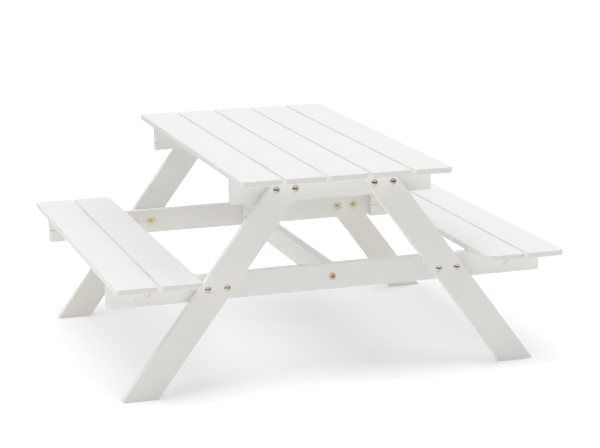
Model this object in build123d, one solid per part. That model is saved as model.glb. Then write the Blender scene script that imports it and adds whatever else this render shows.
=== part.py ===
from build123d import *
import os
from math import atan, cos, radians

os.makedirs("parts", exist_ok=True)

# A children's picnic table in painted softwood boards, bolted together.
# X runs across the table from bench to bench, Y runs along the planks, Z is up.
# The origin is on the floor under the middle of the table. All sizes are in millimetres.

# The whole table
table_height = 500
seat_height = 286
table_width = 1057
plank_length = 905
plank_overhang = 110.5

# The planks of the tabletop and of the benches
plank_width = 94
plank_thickness = 14
plank_gap = 6
plank_edge_radius = 2.5
gap_corner_radius = 5
outer_corner_radius = 12
top_plank_count = 5
bench_plank_count = 2

# The rails and battens, boards that stand on edge
rail_thickness = 18
rail_height = 60
rail_edge_radius = 1.5
top_rail_inset = 8
bench_rail_inset = 10.5
batten_inset = 8.5

# The legs, which lean outwards from the tabletop to the floor
leg_width = 67
leg_thickness = 18
leg_edge_radius = 2
leg_top_offset = 94
leg_bench_distance = 57.5

# The stretcher that joins the two bench rails
stretcher_thickness = 22
stretcher_height = 54

# The coach bolts, with their washers and nuts
bolt_diameter = 6
bolt_head_diameter = 15.5
bolt_head_height = 3.8
bolt_neck_width = 6
bolt_neck_depth = 3.4
bolt_tip = 2
bolt_tip_chamfer = 0.8
bolt_pair_spacing = 44.5
washer_diameter = 22
washer_thickness = 2
washer_chamfer = 0.3
nut_width = 10
nut_height = 5

# The bolts and barrel nuts of the stretcher
disc_head_diameter = 15
disc_head_height = 2.4
disc_head_chamfer = 0.9
socket_width = 4
socket_depth = 1.7
barrel_diameter = 10
barrel_length = 16
barrel_depth = 32
barrel_slot_width = 1.4
barrel_slot_depth = 1.6
stretcher_bolt_reach = 6

# The wood screws that hold the planks from below
screw_diameter = 3.5
screw_head_diameter = 7
screw_head_top = 5
screw_head_height = 2.2
screw_recess_length = 3.2
screw_recess_width = 0.9
screw_recess_depth = 1.3
screw_length = 34
screw_point = 4
screw_tip_diameter = 0.8
screw_bite = 10
screw_spacing = 50

# Clearances of the fits
hole_clearance = 0.25
thread_clearance = 0.12
barrel_clearance = 0.15
bore_clearance = 1
blind_clearance = 0.5
overrun = 5

# Heights that follow from those sizes
plank_underside = table_height - plank_thickness
seat_underside = seat_height - plank_thickness
top_rail_middle = plank_underside - rail_height / 2
bench_rail_middle = seat_underside - rail_height / 2

# Widths that follow from those sizes
plank_pitch = plank_width + plank_gap
top_width = top_plank_count * plank_pitch - plank_gap
bench_width = bench_plank_count * plank_pitch - plank_gap
bench_middle = (table_width - bench_width) / 2
bench_inner = table_width / 2 - bench_width
top_rail_length = top_width - 2 * top_rail_inset
bench_rail_length = table_width - 2 * bench_rail_inset
batten_length = bench_width - 2 * batten_inset

# Places along the planks that follow from those sizes
frame_outer = plank_length / 2 - plank_overhang
rail_middle = frame_outer - rail_thickness / 2
rail_inner = frame_outer - rail_thickness
batten_middle = rail_inner - rail_thickness / 2
leg_outer = frame_outer + leg_thickness

# The lean of a leg, from the tabletop past the inner edge of the bench to the floor
leg_rail_offset = bench_inner - leg_bench_distance
leg_lean = (leg_rail_offset - leg_top_offset) / (plank_underside - bench_rail_middle)
leg_level_width = leg_width / cos(atan(leg_lean))

# Lengths of the bolts
bolt_grip = leg_thickness + rail_thickness
bolt_length = bolt_grip + washer_thickness + nut_height + bolt_tip
stretcher_bolt_length = rail_thickness + barrel_depth + barrel_diameter / 2 + stretcher_bolt_reach
screw_seat = screw_length - screw_bite

sides = {"left": -1, "right": 1}
ends = {"front": -1, "back": 1}


# The middle of a leg at a height above the floor
def leg_offset(height):
    return leg_top_offset + leg_lean * (plank_underside - height)


# The two bolt places of a leg joint, across the table, at a height
def leg_bolt_offsets(height):
    middle = leg_offset(height)
    return [middle - bolt_pair_spacing / 2, middle + bolt_pair_spacing / 2]


# Where fasteners start: on an outer face of each frame, pointing inwards
def frame_places(offsets, face, height):
    places = []
    for side in sides.values():
        for end in ends.values():
            for offset in offsets:
                places.append(Pos(side * offset, end * face, height) * Rot(-90 * end, 0, 0))
    return places


# The middle of one plank of a row, counted from the left, across the table
def plank_offset(row_middle, number, count):
    return row_middle + (number - (count - 1) / 2) * plank_pitch


# The places of the screws of one row of planks, across the table
def screw_offsets(row_middle, count):
    offsets = []
    for number in range(count):
        middle = plank_offset(row_middle, number, count)
        offsets += [middle - screw_spacing / 2, middle + screw_spacing / 2]
    return offsets


# A round bar along Z whose upper end is at the origin
def bar(diameter, length):
    return Cylinder(diameter / 2, length, align=(Align.CENTER, Align.CENTER, Align.MAX))


# A straight board with every edge eased
def board(width, depth, height, radius):
    blank = Box(width, depth, height)
    return fillet(blank.edges(), radius)


# A hole for a bolt from outer face to inner face, with the square pocket that its neck is pulled into
def bolt_hole(grip):
    shaft = Pos(0, 0, overrun) * bar(bolt_diameter + 2 * hole_clearance, grip + 2 * overrun)
    pocket_width = bolt_neck_width + 2 * hole_clearance
    pocket = Box(
        pocket_width, pocket_width, bolt_neck_depth + hole_clearance,
        align=(Align.CENTER, Align.CENTER, Align.MAX),
    )
    return shaft + pocket


# A stepped hole up into a board from its underside, for a screw whose head sits deep inside
def screw_hole(height):
    seat = height - screw_seat
    bore = Pos(0, 0, seat) * bar(screw_head_diameter + 2 * bore_clearance, seat + overrun)
    shaft = Pos(0, 0, height + overrun) * bar(screw_diameter + 2 * thread_clearance, height + overrun)
    return bore + shaft


# A blind hole up into a plank from its underside
def screw_pilot():
    depth = screw_bite + blind_clearance
    return Pos(0, 0, depth) * bar(screw_diameter + 2 * thread_clearance, depth + overrun)


# One plank of a row, eased all round, with blind holes for the screws below. The four outer corners of the
# row are well rounded, and the corners at a gap only a little
def plank(row_middle, number, count, underside, screw_rows):
    middle = plank_offset(row_middle, number, count)
    left_radius = outer_corner_radius if number == 0 else gap_corner_radius
    right_radius = outer_corner_radius if number == count - 1 else gap_corner_radius
    blank = Box(plank_width, plank_length, plank_thickness)
    blank = fillet(blank.edges().filter_by(Axis.Z).sort_by(Axis.X)[:2], left_radius)
    blank = fillet(blank.edges().filter_by(Axis.Z).sort_by(Axis.X)[-2:], right_radius)
    outline = blank.faces().sort_by(Axis.Z)[0].edges() + blank.faces().sort_by(Axis.Z)[-1].edges()
    blank = fillet(outline, plank_edge_radius)
    solid = Pos(middle, 0, underside + plank_thickness / 2) * blank
    for end in ends.values():
        for offset in screw_offsets(middle, 1):
            solid -= Pos(offset, end * screw_rows, underside) * screw_pilot()
    return solid


# A rail under the tabletop, bored for the leg bolts and for the screws of the planks
def top_rail(end):
    solid = board(top_rail_length, rail_thickness, rail_height, rail_edge_radius)
    solid = Pos(0, end * rail_middle, top_rail_middle) * solid
    for place in frame_places(leg_bolt_offsets(top_rail_middle), leg_outer, top_rail_middle):
        solid -= place * bolt_hole(bolt_grip)
    for offset in screw_offsets(0, top_plank_count):
        solid -= Pos(offset, end * rail_middle, plank_underside - rail_height) * screw_hole(rail_height)
    return solid


# A long rail that carries both benches, bored for the legs, the battens and the stretcher
def bench_rail(end):
    solid = board(bench_rail_length, rail_thickness, rail_height, rail_edge_radius)
    solid = Pos(0, end * rail_middle, bench_rail_middle) * solid
    for place in frame_places(leg_bolt_offsets(bench_rail_middle), leg_outer, bench_rail_middle):
        solid -= place * bolt_hole(bolt_grip)
    for place in frame_places([bench_middle], frame_outer, bench_rail_middle):
        solid -= place * bolt_hole(bolt_grip)
    for place in stretcher_places():
        solid -= place * stretcher_bolt_hole()
    return solid


# A short batten inside a bench rail, bored for its bolt and for the screws of the bench
def batten(side, end):
    solid = board(batten_length, rail_thickness, rail_height, rail_edge_radius)
    solid = Pos(side * bench_middle, end * batten_middle, bench_rail_middle) * solid
    for place in frame_places([bench_middle], frame_outer, bench_rail_middle):
        solid -= place * bolt_hole(bolt_grip)
    for offset in screw_offsets(side * bench_middle, bench_plank_count):
        solid -= Pos(offset, end * batten_middle, seat_underside - rail_height) * screw_hole(rail_height)
    return solid


# A leaning leg, cut level under the tabletop and at the floor
def leg(side, end):
    half = leg_level_width / 2
    foot = side * leg_offset(0)
    top = side * leg_top_offset
    outline = Polyline(
        (foot - half, 0),
        (foot + half, 0),
        (top + half, plank_underside),
        (top - half, plank_underside),
        close=True,
    )
    middle = frame_outer + leg_thickness / 2
    face = make_face(Plane.XZ * outline)
    solid = extrude(face, leg_thickness / 2, both=True)
    solid = fillet(solid.edges(), leg_edge_radius)
    solid = Pos(0, end * middle, 0) * solid
    for height in (top_rail_middle, bench_rail_middle):
        for place in frame_places(leg_bolt_offsets(height), leg_outer, height):
            solid -= place * bolt_hole(bolt_grip)
    return solid


# Where the two stretcher bolts start, on the outer faces of the bench rails
def stretcher_places():
    return [Pos(0, end * frame_outer, bench_rail_middle) * Rot(-90 * end, 0, 0) for end in ends.values()]


# The hole of a stretcher bolt through the rail and on past its barrel nut
def stretcher_bolt_hole():
    depth = stretcher_bolt_length + blind_clearance
    return Pos(0, 0, overrun) * bar(bolt_diameter + 2 * hole_clearance, depth + overrun)


# The hole that a barrel nut is pushed into from the left face of the stretcher
def barrel_hole(end):
    depth = (stretcher_thickness + barrel_length) / 2 + blind_clearance
    hole = bar(barrel_diameter + 2 * barrel_clearance, depth + overrun)
    start = Pos(-stretcher_thickness / 2 - overrun, end * (rail_inner - barrel_depth), bench_rail_middle)
    return start * Rot(0, -90, 0) * hole


# The stretcher on edge, butted between the inner faces of the bench rails
def centre_stretcher():
    solid = Box(stretcher_thickness, 2 * rail_inner, stretcher_height)
    solid = fillet(solid.edges().filter_by(Axis.Y), rail_edge_radius)
    solid = Pos(0, 0, bench_rail_middle) * solid
    for place in stretcher_places():
        solid -= place * stretcher_bolt_hole()
    for end in ends.values():
        solid -= barrel_hole(end)
    return solid


# A coach bolt: a low dome, a square neck and a shank. Its head sits on the origin and it points down
def coach_bolt():
    radius = bolt_head_diameter / 2
    dome_radius = (radius ** 2 + bolt_head_height ** 2) / (2 * bolt_head_height)
    ball = Pos(0, 0, bolt_head_height - dome_radius) * Sphere(dome_radius)
    slab = Box(
        bolt_head_diameter, bolt_head_diameter, bolt_head_height,
        align=(Align.CENTER, Align.CENTER, Align.MIN),
    )
    neck = Box(
        bolt_neck_width, bolt_neck_width, bolt_neck_depth,
        align=(Align.CENTER, Align.CENTER, Align.MAX),
    )
    shank = bar(bolt_diameter, bolt_length)
    shank = chamfer(shank.edges().sort_by(Axis.Z)[0], bolt_tip_chamfer)
    return (ball & slab) + neck + shank


# A wide washer against the inner face, with its outer rim eased
def washer():
    ring = bar(washer_diameter, washer_thickness)
    ring = chamfer(ring.edges().sort_by(Axis.Z)[0], washer_chamfer)
    ring -= Pos(0, 0, overrun) * bar(bolt_diameter + 2 * hole_clearance, washer_thickness + 2 * overrun)
    return Pos(0, 0, -bolt_grip) * ring


# A hexagon nut with its corners turned off on the outer side
def nut():
    prism = extrude(RegularPolygon(nut_width / 2, 6, major_radius=False), -nut_height)
    rim = nut_width / 2
    corner = rim / cos(radians(30))
    turned = Cone(rim + 2 * (corner - rim), rim, nut_height, align=(Align.CENTER, Align.CENTER, Align.MAX))
    turned = Rot(180, 0, 0) * Pos(0, 0, nut_height) * turned
    collar = bar(2 * corner + overrun, nut_height - (corner - rim))
    prism = prism & (turned + collar)
    prism -= Pos(0, 0, overrun) * bar(bolt_diameter + 2 * thread_clearance, nut_height + 2 * overrun)
    return Pos(0, 0, -bolt_grip - washer_thickness) * prism


# A bolt with a flat disc head and a hexagon socket
def stretcher_bolt():
    head = Cylinder(disc_head_diameter / 2, disc_head_height, align=(Align.CENTER, Align.CENTER, Align.MIN))
    head = chamfer(head.edges().sort_by(Axis.Z)[-1], disc_head_chamfer)
    head -= Pos(0, 0, disc_head_height - socket_depth) * extrude(
        RegularPolygon(socket_width / 2, 6, major_radius=False), socket_depth + overrun
    )
    shank = bar(bolt_diameter, stretcher_bolt_length)
    shank = chamfer(shank.edges().sort_by(Axis.Z)[0], bolt_tip_chamfer)
    return head + shank


# A barrel nut across the stretcher, with a slot in the end that shows
def barrel_nut(end):
    barrel = Cylinder(barrel_diameter / 2, barrel_length, rotation=(0, 90, 0))
    barrel -= Cylinder(bolt_diameter / 2 + thread_clearance, barrel_diameter + overrun, rotation=(90, 0, 0))
    slot = Box(2 * barrel_slot_depth, barrel_diameter + overrun, barrel_slot_width)
    barrel -= Pos(-barrel_length / 2, 0, 0) * slot
    return Pos(0, end * (rail_inner - barrel_depth), bench_rail_middle) * barrel


# A wood screw that points up, with the seat of its head on the origin and a cross in the head
def wood_screw():
    shank_length = screw_length - screw_point
    standing = (Align.CENTER, Align.CENTER, Align.MIN)
    hanging = (Align.CENTER, Align.CENTER, Align.MAX)
    shank = Cylinder(screw_diameter / 2, shank_length, align=standing)
    point = Cone(screw_diameter / 2, screw_tip_diameter / 2, screw_point, align=standing)
    head = Cone(screw_head_top / 2, screw_head_diameter / 2, screw_head_height, align=hanging)
    slot = Box(screw_recess_length, screw_recess_width, screw_recess_depth + overrun, align=hanging)
    cross = Pos(0, 0, screw_recess_depth - screw_head_height) * (slot + Rot(0, 0, 90) * slot)
    return (head - cross) + shank + Pos(0, 0, shank_length) * point


# Rows of screws under a set of planks, from the seats deep inside their rail or batten
def screw_row(offsets, row, underside):
    seat = underside - screw_seat
    return [Pos(offset, end * row, seat) * wood_screw() for end in ends.values() for offset in offsets]


# Writes one node, a board or a group of like fasteners
def save(name, solids):
    export_step(solids[0] if len(solids) == 1 else Compound(solids), f"parts/{name}.step")


# The tabletop
for number in range(top_plank_count):
    save(f"tabletop_plank_{number + 1}", [plank(0, number, top_plank_count, plank_underside, rail_middle)])
save("tabletop_screws", screw_row(screw_offsets(0, top_plank_count), rail_middle, plank_underside))

# The two end frames
for end_name, end in ends.items():
    save(f"top_rail_{end_name}", [top_rail(end)])
    save(f"bench_rail_{end_name}", [bench_rail(end)])
    for side_name, side in sides.items():
        save(f"leg_{end_name}_{side_name}", [leg(side, end)])

# The stretcher between the frames
save("centre_stretcher", [centre_stretcher()])
save("stretcher_bolts", [place * stretcher_bolt() for place in stretcher_places()])
save("stretcher_barrel_nuts", [barrel_nut(end) for end in ends.values()])

# The benches
bench_screw_places = []
bench_planks = {"left": ("outer", "inner"), "right": ("inner", "outer")}
for side_name, side in sides.items():
    for number, name in enumerate(bench_planks[side_name]):
        bench_plank = plank(side * bench_middle, number, bench_plank_count, seat_underside, batten_middle)
        save(f"bench_{side_name}_plank_{name}", [bench_plank])
    for end_name, end in ends.items():
        save(f"bench_{side_name}_batten_{end_name}", [batten(side, end)])
    bench_screw_places += screw_offsets(side * bench_middle, bench_plank_count)
save("bench_screws", screw_row(bench_screw_places, batten_middle, seat_underside))

# The bolts through the legs and the battens, with their washers and nuts
joints = {
    "leg_top": frame_places(leg_bolt_offsets(top_rail_middle), leg_outer, top_rail_middle),
    "leg_bench": frame_places(leg_bolt_offsets(bench_rail_middle), leg_outer, bench_rail_middle),
    "batten": frame_places([bench_middle], frame_outer, bench_rail_middle),
}
for name, places in joints.items():
    save(f"{name}_bolts", [place * coach_bolt() for place in places])
    save(f"{name}_washers", [place * washer() for place in places])
    save(f"{name}_nuts", [place * nut() for place in places])
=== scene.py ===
# %% [markdown]
# # A children's picnic table in white-painted softwood
# The real table is 22 softwood boards, spray painted white, and 122 pieces in all with its bolts and screws.
# Every board and fastener arrives here at its true size and place. This script gives each one its finish, and
# sets up a small photo studio around the table.

# %% Load the table
import math
import random

import bmesh
import bpy
from mathutils import Matrix, Vector


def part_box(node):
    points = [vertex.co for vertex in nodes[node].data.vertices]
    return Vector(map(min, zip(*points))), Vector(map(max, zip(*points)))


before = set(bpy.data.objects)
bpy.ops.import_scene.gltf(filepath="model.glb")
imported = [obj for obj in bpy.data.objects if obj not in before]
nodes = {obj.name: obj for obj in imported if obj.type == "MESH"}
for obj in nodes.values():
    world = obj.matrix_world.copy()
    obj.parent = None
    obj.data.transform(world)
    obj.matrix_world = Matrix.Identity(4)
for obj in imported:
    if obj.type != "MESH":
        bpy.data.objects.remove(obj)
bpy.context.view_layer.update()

print("pieces of the table:", len(nodes))

# %% [markdown]
# ## Two helpers
# Colours are picked on a screen, so they are written as hex values in sRGB. Blender works in linear
# light, and one function turns the one into the other. A second function adds a shader node, gives it its
# settings, and fills or links its inputs. That keeps each material below down to the list of its steps.

# %% Colours and nodes
def linear(hex_colour):
    channels = []
    for start in (1, 3, 5):
        share = int(hex_colour[start:start + 2], 16) / 255
        channels.append(share / 12.92 if share <= 0.04045 else ((share + 0.055) / 1.055) ** 2.4)
    return (*channels, 1)


def add_node(tree, kind, inputs=None, **settings):
    node = tree.nodes.new(kind)
    for name, value in settings.items():
        setattr(node, name, value)
    for socket, value in (inputs or {}).items():
        if isinstance(value, bpy.types.NodeSocket):
            tree.links.new(value, node.inputs[socket])
        else:
            node.inputs[socket].default_value = value
    return node


print("the grey #808080 in linear light:", [round(channel, 3) for channel in linear("#808080")[:3]])

# %% [markdown]
# ## The camera
# The picture was taken with a long lens from low on the left, so that the planks run away to the upper left
# and parallel edges hardly close in. The four numbers that fix such a view are the azimuth, the elevation,
# the distance and the focal length. A small roll and a small sideways and upward step of the camera finish
# the framing, so that no lens shift is needed.

# %% Place the camera
camera_azimuth = math.radians(-18.815)
camera_elevation = math.radians(13.466)
camera_roll = math.radians(-0.188)
camera_distance = 4.381
camera_step_right = 0.0367
camera_step_up = 0.0355
aim_height = 0.25
sensor_width = 36
focal_length = 107.39

back = Vector((
    math.sin(camera_azimuth) * math.cos(camera_elevation),
    -math.cos(camera_azimuth) * math.cos(camera_elevation),
    math.sin(camera_elevation),
))
right = Vector((math.cos(camera_azimuth), math.sin(camera_azimuth), 0))
up = back.cross(right)
turned_right = math.cos(camera_roll) * right + math.sin(camera_roll) * up
turned_up = math.cos(camera_roll) * up - math.sin(camera_roll) * right

camera_data = bpy.data.cameras.new("camera")
camera_data.sensor_width = sensor_width
camera_data.lens = focal_length
camera = bpy.data.objects.new("camera", camera_data)
bpy.context.scene.collection.objects.link(camera)
place = Vector((0, 0, aim_height)) + camera_distance * back + camera_step_right * right + camera_step_up * up
axes = Matrix((turned_right, turned_up, back)).transposed()
camera.matrix_world = Matrix.Translation(place) @ axes.to_4x4()
bpy.context.scene.camera = camera
print("camera at", [round(value, 3) for value in place])

# %% [markdown]
# ## The studio
# A white table on a white ground lives from small steps of grey. The light comes from two very large soft
# boxes, one on the left and one on the right, which reach from near the floor to high above the table. Each
# is built of three tiers, one above the other, and the top tier on the left is the strongest. So the tops are
# the brightest faces, the sides that face left come next, and the ends of the planks are a little darker.
#
# Area lamps could stand for the boxes. Painted straight onto the world they are easier to shape: each
# direction of the sky gets a strength from how far it lies to one side, and how high it is. The picture's
# background is pure white. That white is only what the camera and shiny metal see: Light Path tells those
# rays apart, so the background stays white without putting more light on the table. The view transform is
# Standard, which shows a colour as it is written.

# %% Light the room
tiers = ((0.14, 0.20), (0.45, 0.55), (0.77, 0.87))  # where each tier fades in, as a share of straight up
soft_boxes = {                                      # which way along X, and the strengths of the tiers
    "left": (-1, (0.25, 1.60, 3.25)),
    "right": (1, (0.45, 1.95, 1.05)),
}
white_light = (1, 1, 1, 1)
without_height = (1, 1, 0)


def directly_seen(tree):
    rays = add_node(tree, "ShaderNodeLightPath")
    seen = rays.outputs["Is Camera Ray"]
    for ray in ("Is Glossy Ray", "Is Transmission Ray"):
        seen = add_node(tree, "ShaderNodeMath", {0: seen, 1: rays.outputs[ray]},
                        operation="MAXIMUM").outputs[0]
    return seen


scene = bpy.context.scene
scene.view_settings.view_transform = "Standard"

world = bpy.data.worlds.new("studio")
world.use_nodes = True
scene.world = world
tree = world.node_tree
tree.nodes.clear()
sky = add_node(tree, "ShaderNodeTexCoord").outputs["Generated"]
height = add_node(tree, "ShaderNodeSeparateXYZ", {0: sky}).outputs["Z"]
level = add_node(tree, "ShaderNodeVectorMath", {0: sky, 1: without_height}, operation="MULTIPLY")
level = add_node(tree, "ShaderNodeVectorMath", {0: level.outputs[0]}, operation="NORMALIZE")
sideways = add_node(tree, "ShaderNodeSeparateXYZ", {0: level.outputs[0]}).outputs["X"]

light = 0
for toward, strengths in soft_boxes.values():
    side = add_node(tree, "ShaderNodeMapRange", {"Value": sideways, "From Min": 0, "From Max": toward})
    strength_here = 0
    for (start, full), strength, below in zip(tiers, strengths, (0, *strengths)):
        tier = add_node(tree, "ShaderNodeMapRange", {
            "Value": height, "From Min": start, "From Max": full, "To Max": strength - below,
        })
        strength_here = add_node(tree, "ShaderNodeMath", {0: tier.outputs[0], 1: strength_here},
                                 operation="ADD").outputs[0]
    light = add_node(tree, "ShaderNodeMath", {0: side.outputs[0], 1: strength_here, 2: light},
                     operation="MULTIPLY_ADD").outputs[0]
boxes = add_node(tree, "ShaderNodeBackground", {"Color": white_light, "Strength": light})
white = add_node(tree, "ShaderNodeBackground", {"Color": white_light, "Strength": 1})
room = add_node(tree, "ShaderNodeMixShader", {
    0: directly_seen(tree), 1: boxes.outputs[0], 2: white.outputs[0],
})
add_node(tree, "ShaderNodeOutputWorld", {"Surface": room.outputs[0]})
print("soft boxes:", *soft_boxes, "- sky of", len(tree.nodes), "nodes")

# %% [markdown]
# ## The floor
# The floor is a sheet of white paper, so large that it fills the picture to its upper edge and no horizon
# shows. It is lit a little from below like a light table. That lift is warm, and it reaches the places under
# the benches that the boxes can't. To the camera the paper glows in a cool white instead, which brings the
# open floor up to pure white and keeps its shadow grey.

# %% Lay the floor
floor_size = 60
paper_colour = "#F0F0F0"
paper_lift = 0.115
paper_lift_colour = "#FFE6AE"
paper_glow = 0.17
paper_glow_colour = "#ECF0FF"

floor_mesh = bpy.data.meshes.new("floor")
sheet = bmesh.new()
bmesh.ops.create_grid(sheet, x_segments=1, y_segments=1, size=floor_size / 2)
sheet.to_mesh(floor_mesh)
sheet.free()
floor = bpy.data.objects.new("floor", floor_mesh)
scene.collection.objects.link(floor)

paper = bpy.data.materials.new("white_background_paper")
paper.use_nodes = True
tree = paper.node_tree
tree.nodes.clear()
matt = add_node(tree, "ShaderNodeBsdfDiffuse", {"Color": linear(paper_colour)})
lift = add_node(tree, "ShaderNodeEmission", {"Color": linear(paper_lift_colour), "Strength": paper_lift})
glow = add_node(tree, "ShaderNodeEmission", {"Color": linear(paper_glow_colour), "Strength": paper_glow})
own = add_node(tree, "ShaderNodeMixShader", {0: directly_seen(tree), 1: lift.outputs[0], 2: glow.outputs[0]})
total = add_node(tree, "ShaderNodeAddShader", {0: matt.outputs[0], 1: own.outputs[0]})
add_node(tree, "ShaderNodeOutputMaterial", {"Surface": total.outputs[0]})
floor.data.materials.append(paper)
print("floor of", floor_size, "metres")

# %% [markdown]
# ## The shadow
# The boxes shine in from the sides, so they leave hardly any shadow on the paper. A soft box overhead would
# draw one, but it would brighten the tops as well. So one lamp almost straight above draws it. Light linking
# lets that lamp fall on the paper alone, and the table still blocks it.

# %% Hang the shadow lamp
shadow_strength = 0.62
shadow_spread = math.radians(24)
shadow_lean = math.radians(11)          # towards the camera
shadow_slant = math.radians(3)          # towards the left

lamp = bpy.data.lights.new("shadow_lamp", "SUN")
lamp.energy = shadow_strength
lamp.angle = shadow_spread
shadow_lamp = bpy.data.objects.new("shadow_lamp", lamp)
shadow_lamp.rotation_euler = (shadow_lean, shadow_slant, 0)
scene.collection.objects.link(shadow_lamp)
only_paper = bpy.data.collections.new("only_paper")
only_paper.objects.link(floor)
shadow_lamp.light_linking.receiver_collection = only_paper

# %% [markdown]
# ## Dark cards for the metal
# Polished metal shows whatever stands round it. In an all-white room the domes of the bolts would turn white
# and vanish, so a photographer lets the dark studio show in them: the bare floor past the paper, and the
# walls. Darker metal wouldn't do instead, because the bright rims beside the dark would be lost. Floor and
# walls are one thin sheet of black felt here. Only glossy rays meet it, so it takes no light from the table
# and no camera sees it.

# %% Black felt, for reflections only
felt_colour = "#262422"

felt = bpy.data.materials.new("black_felt")
felt.use_nodes = True
felt.node_tree.nodes.clear()
shader = add_node(felt.node_tree, "ShaderNodeBsdfDiffuse", {"Color": linear(felt_colour)})
add_node(felt.node_tree, "ShaderNodeOutputMaterial", {"Surface": shader.outputs[0]})


def only_in_reflections(card):
    card.visible_camera = False
    card.visible_diffuse = False
    card.visible_transmission = False
    card.visible_shadow = False
    scene.collection.objects.link(card)


print("felt of", felt_colour)

# %% [markdown]
# In the picture each dome has a dark band that dips in the middle and climbs to both sides. So the dark floor
# starts nearest in the direction that the middle of a dome mirrors, and the wall is lowest there.

# %% Hang the dark cards
dark_floor_start = 0.85
dark_floor_recess = 1.2                 # how much further off it starts to the sides, as a share of that
dark_wall_distance = 9
dark_wall_low = 0.6
dark_wall_rise = 4.0                    # from there up to the sides
dark_wall_behind = 1.4
dip = -camera_azimuth                   # the middle of a dome mirrors this direction
card_lift = 0.002
card_sides = 96


def off_the_dip(vert):
    angle = math.atan2(vert.co.x, -vert.co.y) - dip
    return abs(math.sin(angle)) if math.cos(angle) > 0 else None


card_mesh = bpy.data.meshes.new("dark_surround")
card = bmesh.new()
above_paper = Matrix.Translation((0, 0, card_lift))
inner = bmesh.ops.create_circle(card, segments=card_sides, radius=dark_floor_start, matrix=above_paper)
outer = bmesh.ops.create_circle(card, segments=card_sides, radius=dark_wall_distance, matrix=above_paper)
bmesh.ops.bridge_loops(card, edges=list(card.edges))
wall_edges = [edge for edge in card.edges if all(vert in outer["verts"] for vert in edge.verts)]
raised = bmesh.ops.extrude_edge_only(card, edges=wall_edges)["geom"]
for vert in [item for item in raised if isinstance(item, bmesh.types.BMVert)]:
    aside = off_the_dip(vert)
    vert.co.z += dark_wall_behind if aside is None else dark_wall_low + dark_wall_rise * aside
for vert in inner["verts"]:
    aside = off_the_dip(vert)
    vert.co.xy *= 1 + dark_floor_recess * (1 if aside is None else aside)
card.to_mesh(card_mesh)
card.free()
card_mesh.materials.append(felt)
only_in_reflections(bpy.data.objects.new("dark_surround", card_mesh))
print("dark surround:", len(card_mesh.polygons), "faces")

# %% [markdown]
# ## How each board lies
# No two boards were sawn from the same place in the tree, so each gets a material of its own. All of them
# share one recipe, and it starts with where the board is and which way its grain runs. Planks and rails are
# longest along their grain. A leg's grain leans with the leg, from the middle of its foot to the middle of
# its top. Both are level cuts, so they are found from its lowest and its highest corners.

# %% Find the grain
level_cut = 0.001
metal_words = ("bolts", "nuts", "washers", "screws")
boards = [name for name in nodes if not any(word in name for word in metal_words)]


def lie_of(name):
    low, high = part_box(name)
    if "leg" in name:
        corners = [vertex.co for vertex in nodes[name].data.vertices]
        foot = [co for co in corners if co.z < low.z + level_cut]
        top = [co for co in corners if co.z > high.z - level_cut]
        grain = sum(top, Vector()) / len(top) - sum(foot, Vector()) / len(foot)
    elif high.x - low.x > high.y - low.y:
        grain = Vector((1, 0, 0))
    else:
        grain = Vector((0, 1, 0))
    return (low + high) / 2, grain.normalized()


for name in ("tabletop_plank_1", "bench_rail_front", "leg_front_left"):
    print(name, "has its grain along", [round(part, 2) for part in lie_of(name)[1]])

# %% [markdown]
# ## What shows through the paint
# The paint hides the colour of the wood, but not all of its story. A few knots are faint brown spots. The
# ends of some boards have small cracks, called checks, where they dried fastest. And some of the screws,
# driven up from below, lift the paint on the planks in a tiny pimple over their tips.
#
# An image would have to be fitted to each board. An ellipsoid in the wood is simpler, because it shows on
# every face that cuts it. Each mark has its middle, its half sizes along and across the grain, how strongly
# it shows and its tint.

# %% Marks in the paint
knot_tint = "#A08A6C"
knot_show = 0.12
knots = {                                         # middle and radius
    "bench_rail_front": ((-0.461, -0.342, 0.230), 0.005),
    "bench_rail_back": ((0.187, 0.324, 0.250), 0.004),
    "leg_back_left": ((-0.247, 0.342, 0.316), 0.006),
}
check_tint = "#2E2A24"
check_show = 0.75
checks = {                                        # middles and half sizes
    "bench_right_batten_back": (((0.344, 0.306, 0.242), (0.003, 0.004, 0.0014)),
                                ((0.356, 0.306, 0.242), (0.012, 0.003, 0.0006))),
    "bench_left_batten_back": (((-0.518, 0.306, 0.243), (0.003, 0.004, 0.0014)),
                               ((-0.510, 0.306, 0.242), (0.009, 0.003, 0.0007))),
    "top_rail_back": (((-0.238, 0.324, 0.4435), (0.006, 0.003, 0.0008)),),
    "tabletop_plank_1": (((-0.2328, -0.4525, 0.4966), (0.004, 0.0016, 0.0009)),
                         ((-0.2351, -0.4525, 0.4902), (0.004, 0.0012, 0.0014))),
    "tabletop_plank_2": (((-0.0570, -0.4525, 0.4940), (0.004, 0.0009, 0.0026)),),
    "bench_left_plank_inner": (((-0.3480, -0.4525, 0.2807), (0.004, 0.0016, 0.0011)),),
    "bench_right_plank_inner": (((0.4212, -0.4525, 0.2800), (0.004, 0.0012, 0.0024)),),
}
pimple_tint = "#C9C6BE"
pimple_show = 0.6
pimple_size = (0.0032, 0.0032, 0.0012)            # half sizes, wider than the real ones so that they show
pimple_share = 0.4                                # of all the screws
screw_rows = {"tabletop": 0.333, "bench": 0.315}  # how far the rows of screws lie from the middle
screw_offset = 0.025                              # and each screw from the middle of its plank


def marks_on(name, chance):
    marks = [(place, half_sizes, check_show, check_tint) for place, half_sizes in checks.get(name, ())]
    if name in knots:
        place, radius = knots[name]
        marks.append((place, (radius, radius, radius), knot_show, knot_tint))
    if "plank" in name:
        low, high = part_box(name)
        row = screw_rows[name.split("_")[0]]
        for side in (-1, 1):
            for end in (-1, 1):
                place = ((low.x + high.x) / 2 + side * screw_offset, end * row, high.z)
                if chance.random() < pimple_share:
                    marks.append((place, pimple_size, pimple_show, pimple_tint))
    return marks


print("boards with knots:", len(knots), "and with checks:", len(checks))

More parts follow.
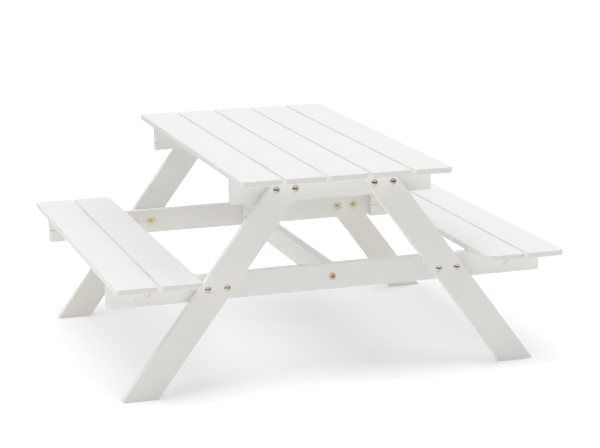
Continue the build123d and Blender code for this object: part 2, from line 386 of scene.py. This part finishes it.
# %% [markdown]
# ## The recipe for white satin paint on softwood
# Satin paint hides the wood and softens every reflection. An image of it would show the same rings on every
# board, so the layers are procedural textures, and each board cuts them from a tree of its own. From the
# wood outwards, they are all at their real size:
#
# - the yearly rings, drawn round a pith some centimetres from the middle of the board. Along a face they run
#   as long stripes, on an end they are arcs. The hard late wood of each ring stands a few hundredths of a
#   millimetre proud.
# - fibres, about a millimetre wide and a few centimetres long
# - the fine orange peel of sprayed paint
# - clouds a hand wide, where the coat is a little thicker or thinner
# - end grain, which drinks the paint and stays greyer and more matt
# - wear on the edges. The Bevel node gives the normal that a rounder edge would have, and where that differs
#   from the true normal, there is an edge.
#
# It starts with two sets of coordinates. The board's own run along its grain from its middle. The wood's run
# along the pith and are squeezed lengthwise, which draws each pattern out along the grain.

# %% Coordinates of a board and of its wood
pith_distance = (0.03, 0.11)           # from the middle of the board
pith_tilt = math.radians(0.8)
tree_length = 9                        # where along the pith the boards lie, in squeezed metres
grain_stretch = 0.035                  # a pattern is drawn out nearly thirty times along the grain


def board_places(tree, spot, middle, grain, chance):
    turn = Vector((1, 0, 0)).rotation_difference(grain).to_euler()
    turn.y += chance.uniform(-pith_tilt, pith_tilt)
    turn.z += chance.uniform(-pith_tilt, pith_tilt)
    board = add_node(tree, "ShaderNodeMapping", {
        "Vector": spot.outputs["Object"], "Location": middle, "Rotation": turn,
    }, vector_type="TEXTURE").outputs[0]
    way = chance.uniform(0, math.tau)
    away = chance.uniform(*pith_distance)
    pith = (chance.uniform(0, tree_length), away * math.cos(way), away * math.sin(way))
    wood = add_node(tree, "ShaderNodeMapping", {
        "Vector": board, "Location": pith, "Scale": (grain_stretch, 1, 1),
    }).outputs[0]
    return board, wood, turn


print("piths lie", pith_distance, "metres from the middle of their boards")

# %% [markdown]
# Next come the ends and the edges. A face is an end where it looks along the grain, so the angle between its
# normal and the grain tells. The way to find an edge serves the metal too.

# %% Ends and edges
end_fade = (0.7, 0.95)                 # how squarely an end meets the grain, at first and in full
edge_fade = (0.99, 0.90)               # how alike the rounder and the true normal are, likewise
bevel_samples = 6
edge_radius = 0.0016
rub_size = 0.009
rub_fade = (0.56, 0.72)                # the values of the noise that leave bare patches on an edge
wear_show = 0.03


def edges_of(tree, radius, show):
    rounder = add_node(tree, "ShaderNodeBevel", {"Radius": radius}, samples=bevel_samples)
    true = add_node(tree, "ShaderNodeNewGeometry")
    alike = add_node(tree, "ShaderNodeVectorMath", {0: rounder.outputs[0], 1: true.outputs["Normal"]},
                     operation="DOT_PRODUCT")
    edge = add_node(tree, "ShaderNodeMapRange", {
        "Value": alike.outputs["Value"], "From Min": edge_fade[0], "From Max": edge_fade[1], "To Max": show,
    })
    return edge.outputs[0]


def end_and_wear(tree, spot, board, grain):
    along = add_node(tree, "ShaderNodeVectorMath", {0: spot.outputs["Normal"], 1: grain},
                     operation="DOT_PRODUCT")
    along = add_node(tree, "ShaderNodeMath", {0: along.outputs["Value"]}, operation="ABSOLUTE")
    end = add_node(tree, "ShaderNodeMapRange", {
        "Value": along.outputs[0], "From Min": end_fade[0], "From Max": end_fade[1],
    })
    rub = add_node(tree, "ShaderNodeTexNoise", {"Vector": board, "Scale": 1 / rub_size, "Detail": 4})
    rub = add_node(tree, "ShaderNodeMapRange", {
        "Value": rub.outputs["Fac"], "From Min": rub_fade[0], "From Max": rub_fade[1], "To Max": wear_show,
    })
    worn = add_node(tree, "ShaderNodeMath", {0: edges_of(tree, edge_radius, 1), 1: rub.outputs[0]},
                    operation="MULTIPLY")
    return end.outputs[0], worn.outputs[0]


print("edges are found", edge_radius, "metres deep")

# %% [markdown]
# The rings, the fibres, the spray, the clouds and the specks of dust are one texture each. Blender's wave
# texture draws the rings: its saw profile climbs through the soft early wood, and the late wood is its upper
# part.

# %% Patterns of the wood and the coat
ring_spacing = (0.0022, 0.0040)        # from a slow and from a fast grown tree
wave_turn = math.tau / 20              # scale times spacing, for Blender's wave texture
ring_wander = 6                        # how far a ring strays, in radians of its wave
wander_scale = 0.15                    # about one bend in twenty rings
late_wood_start = 0.45
fibre_width = 0.0011
spray_grain = 0.0024
cloud_size = 0.11
speck_cell = 0.022
speck_radius = 0.0007
speck_show = 0.30


def board_patterns(tree, board, wood, chance):
    rings = add_node(tree, "ShaderNodeTexWave", {
        "Vector": wood, "Scale": wave_turn / chance.uniform(*ring_spacing),
        "Distortion": ring_wander, "Detail": 2, "Detail Scale": wander_scale,
    }, wave_type="RINGS", rings_direction="X", wave_profile="SAW")
    late = add_node(tree, "ShaderNodeMapRange", {"Value": rings.outputs["Fac"], "From Min": late_wood_start},
                    interpolation_type="SMOOTHSTEP")
    fibre = add_node(tree, "ShaderNodeTexNoise", {"Vector": wood, "Scale": 1 / fibre_width, "Detail": 3})
    spray = add_node(tree, "ShaderNodeTexNoise", {"Vector": board, "Scale": 1 / spray_grain, "Detail": 1})
    clouds = add_node(tree, "ShaderNodeTexNoise", {"Vector": board, "Scale": 1 / cloud_size, "Detail": 3})
    speck = add_node(tree, "ShaderNodeTexVoronoi", {"Vector": board, "Scale": 1 / speck_cell})
    speck = add_node(tree, "ShaderNodeMapRange", {
        "Value": speck.outputs["Distance"], "From Min": speck_radius / speck_cell,
        "From Max": speck_radius / speck_cell / 2, "To Max": speck_show,
    })
    return [late.outputs[0], *(noise.outputs["Fac"] for noise in (fibre, spray, clouds)), speck.outputs[0]]


print("rings every", ring_spacing, "metres")

# %% [markdown]
# The last cell of the recipe puts the layers together. Tints go over one another, each by its share. Heights
# are in metres and summed up, so one Bump node with a distance of one metre takes them as they are.

# %% Paint the boards
paint_light = "#F9F9F9"
paint_shade = "#F4F4F3"
late_wood_tint = "#E6E1D2"
end_tint = "#DEDDD6"
bare_wood = "#D6C4A0"
speck_tint = "#A9A498"
late_wood_show = 0.05
end_show = 0.25

ring_relief = 0.00004
fibre_relief = 0.000012
spray_relief = 0.000010
mark_depth = 0.0002
mark_core = 0.4                        # inside this share of its size a mark shows in full

satin = 0.46
satin_spread = 0.04
end_matt = 0.62
paint_ior = 1.46
colour_a, colour_b, colour_out = 6, 7, 2       # the colour sockets of a Mix node


def over(tree, colour, share, tint):
    mixed = add_node(tree, "ShaderNodeMix", {
        0: share, colour_a: colour, colour_b: linear(tint),
    }, data_type="RGBA")
    return mixed.outputs[colour_out]


def dress(name, material):
    slots = nodes[name].data.materials
    slots.clear()
    slots.append(material)


def painted_board(name):
    chance = random.Random(name)
    middle, grain = lie_of(name)
    material = bpy.data.materials.new(f"white_paint_on_{name}")
    material.use_nodes = True
    tree = material.node_tree
    tree.nodes.clear()
    spot = add_node(tree, "ShaderNodeTexCoord")
    board, wood, turn = board_places(tree, spot, middle, grain, chance)
    end, worn = end_and_wear(tree, spot, board, grain)
    late, fibre, spray, clouds, speck = board_patterns(tree, board, wood, chance)

    colour = add_node(tree, "ShaderNodeMix", {
        0: clouds, colour_a: linear(paint_light), colour_b: linear(paint_shade),
    }, data_type="RGBA").outputs[colour_out]
    for pattern, show, tint in ((late, late_wood_show, late_wood_tint), (end, end_show, end_tint)):
        share = add_node(tree, "ShaderNodeMath", {0: pattern, 1: show}, operation="MULTIPLY")
        colour = over(tree, colour, share.outputs[0], tint)
    colour = over(tree, colour, speck, speck_tint)
    colour = over(tree, colour, worn, bare_wood)

    height = 0
    for pattern, relief in ((late, ring_relief), (fibre, fibre_relief), (spray, spray_relief)):
        height = add_node(tree, "ShaderNodeMath", {0: pattern, 1: relief, 2: height},
                          operation="MULTIPLY_ADD").outputs[0]

    for place, half_sizes, show, tint in marks_on(name, chance):
        near = add_node(tree, "ShaderNodeMapping", {
            "Vector": spot.outputs["Object"], "Location": place, "Rotation": turn, "Scale": half_sizes,
        }, vector_type="TEXTURE")
        near = add_node(tree, "ShaderNodeVectorMath", {0: near.outputs[0]}, operation="LENGTH")
        near = add_node(tree, "ShaderNodeMapRange", {
            "Value": near.outputs["Value"], "From Min": 1, "From Max": mark_core, "To Max": show,
        })
        colour = over(tree, colour, near.outputs[0], tint)
        rise = mark_depth if tint == pimple_tint else -mark_depth
        height = add_node(tree, "ShaderNodeMath", {0: near.outputs[0], 1: rise, 2: height},
                          operation="MULTIPLY_ADD").outputs[0]

    gloss = add_node(tree, "ShaderNodeMapRange", {
        "Value": clouds, "To Min": satin - satin_spread, "To Max": satin + satin_spread,
    })
    gloss = add_node(tree, "ShaderNodeMix", {0: end, 2: gloss.outputs[0], 3: end_matt})
    bump = add_node(tree, "ShaderNodeBump", {"Height": height, "Distance": 1})
    shader = add_node(tree, "ShaderNodeBsdfPrincipled", {
        "Base Color": colour, "Roughness": gloss.outputs[0], "IOR": paint_ior, "Normal": bump.outputs[0],
    })
    add_node(tree, "ShaderNodeOutputMaterial", {"Surface": shader.outputs[0]})
    dress(name, material)
    return material


painted = [painted_board(name) for name in boards]
most_nodes = max(len(material.node_tree.nodes) for material in painted)
print("painted boards:", len(painted), "with up to", most_nodes, "nodes each")

# %% [markdown]
# ## Zinc on steel
# The bolts of the legs and battens are plated in bright zinc, the rest in yellow zinc. Both are a thin film
# over steel, and the film's thickness drifts, so its colour does too: silver to straw and pink on the legs,
# straw on the battens, straw to brass on washers, nuts and screws. The two bolts of the stretcher went
# coppery and dull. Their sockets are darkened towards the middle, which is grime and painted shade in the
# recess. A single colour would look like paint, so a slow noise picks the tint from a ramp. It is wider than
# a head, which gives each head a tint of its own. The edges get a tint of their own, a thin outline: a
# lighter painted highlight on bright zinc, and a darker painted shade on the others.

# %% Colours of the zinc
mirror_like = (0.13, 0.30)             # roughness where the film is smoothest and where it is dullest
dull = (0.50, 0.60)
bright = (("#B9BCB6", "#D4CFAE", "#CBB8AC", "#C4C8C0"), mirror_like, "#D9D8D4")   # tints, roughness, edge tint: a painted highlight here, painted shade in the others
straw = (("#D8D0AA", "#E2DAB4", "#DCD2AC", "#E4DCBE"), mirror_like, "#8E8668")
yellow = (("#D8CCA8", "#E8DFC2", "#DFD4B2", "#E2D4B8"), mirror_like, "#7A6E4E")
copper = (("#ECCFB0", "#E6C6A6", "#EED2B4", "#E9CAAA"), dull, "#6E4E34")
finishes = {
    "leg_top_bolts": bright, "leg_bench_bolts": bright, "batten_bolts": straw, "stretcher_bolts": copper,
}
tint_size = 0.030
tint_places = (0.32, 0.44, 0.56, 0.68)                # the values of the drift where the four tints stand
plate_edge = 0.0008
edge_show = 0.7
# grime and painted shade: this tint darkens the sockets of the stretcher bolts
grime_and_shade_tint = "#3C2618"
socket_grime_and_shade = {"stretcher_bolts": ((0, 0, 0.242), 0.0030)}   # middle and radius of the grime and painted shade in a socket
across_bolt = (1, 0, 1)                               # every bolt runs front to back


def zinc_colour(tree, name, spot):
    tints, _, painted_edge_tint = finishes.get(name, yellow)
    drift = add_node(tree, "ShaderNodeTexNoise", {"Vector": spot, "Scale": 1 / tint_size, "Detail": 2})
    ramp = add_node(tree, "ShaderNodeValToRGB", {"Fac": drift.outputs["Fac"]})
    stops = ramp.color_ramp.elements
    for stop, (place, tint) in enumerate(zip(tint_places, tints)):
        element = stops[stop] if stop < len(stops) else stops.new(place)
        element.position = place
        element.color = linear(tint)
    # the edges get a tint of their own: a lighter painted highlight on bright zinc, a darker painted shade on
    # the others
    colour = over(tree, ramp.outputs["Color"], edges_of(tree, plate_edge, edge_show), painted_edge_tint)

    # grime and painted shade in the socket: darker towards the bolt's axis
    if name in socket_grime_and_shade:
        place, radius = socket_grime_and_shade[name]
        near = add_node(tree, "ShaderNodeVectorMath", {0: spot, 1: place}, operation="SUBTRACT")
        near = add_node(tree, "ShaderNodeVectorMath", {0: near.outputs[0], 1: across_bolt},
                        operation="MULTIPLY")
        near = add_node(tree, "ShaderNodeVectorMath", {0: near.outputs[0]}, operation="LENGTH")
        near = add_node(tree, "ShaderNodeMapRange", {
            "Value": near.outputs["Value"], "From Min": radius, "From Max": radius / 2,
        })
        colour = over(tree, colour, near.outputs[0], grime_and_shade_tint)
    return colour


print("fasteners with a finish of their own:", len(finishes))

# %% [markdown]
# The domes were stamped, not turned, which leaves them very slightly wavy, and that wave bends the bands of
# their reflections. The shanks of the bolts carry a thread with a pitch of one millimetre, up to near the
# head. Cut in the mesh it would need many small faces that hardly show, so it is a row of ridges in the bump.

# %% Plate the fasteners
mottle_size = 0.0012
mottle_fade = (0.3, 0.7)
wave_size = 0.0036
wave_relief = 0.00012
grain_size = 0.0003
grain_relief = 0.000002
thread_pitch = 0.001
thread_relief = 0.00035
head_room = 0.006                      # from the top of a head to where the thread may begin


def plated(name, threaded):
    _, (polished, dulled), _ = finishes.get(name, yellow)
    material = bpy.data.materials.new(f"zinc_on_{name}")
    material.use_nodes = True
    tree = material.node_tree
    tree.nodes.clear()
    spot = add_node(tree, "ShaderNodeTexCoord").outputs["Object"]
    colour = zinc_colour(tree, name, spot)
    mottle = add_node(tree, "ShaderNodeTexNoise", {"Vector": spot, "Scale": 1 / mottle_size, "Detail": 3})
    gloss = add_node(tree, "ShaderNodeMapRange", {
        "Value": mottle.outputs["Fac"], "From Min": mottle_fade[0], "From Max": mottle_fade[1],
        "To Min": polished, "To Max": dulled,
    })

    wave = add_node(tree, "ShaderNodeTexNoise", {"Vector": spot, "Scale": 1 / wave_size, "Detail": 0})
    grain = add_node(tree, "ShaderNodeTexNoise", {"Vector": spot, "Scale": 1 / grain_size, "Detail": 2})
    reliefs = [(wave.outputs["Fac"], wave_relief), (grain.outputs["Fac"], grain_relief)]
    if threaded:
        ridges = add_node(tree, "ShaderNodeTexWave", {"Vector": spot, "Scale": wave_turn / thread_pitch},
                          wave_type="BANDS", bands_direction="Y", wave_profile="TRI")
        thread_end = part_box(name)[1].y - head_room
        along = add_node(tree, "ShaderNodeSeparateXYZ", {0: spot})
        along = add_node(tree, "ShaderNodeMath", {0: along.outputs["Y"]}, operation="ABSOLUTE")
        shank = add_node(tree, "ShaderNodeMath", {0: along.outputs[0], 1: thread_end}, operation="LESS_THAN")
        ridges = add_node(tree, "ShaderNodeMath", {0: ridges.outputs["Fac"], 1: shank.outputs[0]},
                          operation="MULTIPLY")
        reliefs.append((ridges.outputs[0], thread_relief))
    height = 0
    for pattern, relief in reliefs:
        height = add_node(tree, "ShaderNodeMath", {0: pattern, 1: relief, 2: height},
                          operation="MULTIPLY_ADD").outputs[0]

    bump = add_node(tree, "ShaderNodeBump", {"Height": height, "Distance": 1})
    shader = add_node(tree, "ShaderNodeBsdfPrincipled", {
        "Base Color": colour, "Metallic": 1, "Roughness": gloss.outputs[0], "Normal": bump.outputs[0],
    })
    add_node(tree, "ShaderNodeOutputMaterial", {"Surface": shader.outputs[0]})
    dress(name, material)


fasteners = [name for name in nodes if name not in boards]
for name in fasteners:
    plated(name, "_bolts" in name)
print("plated kinds of fastener:", len(fasteners))
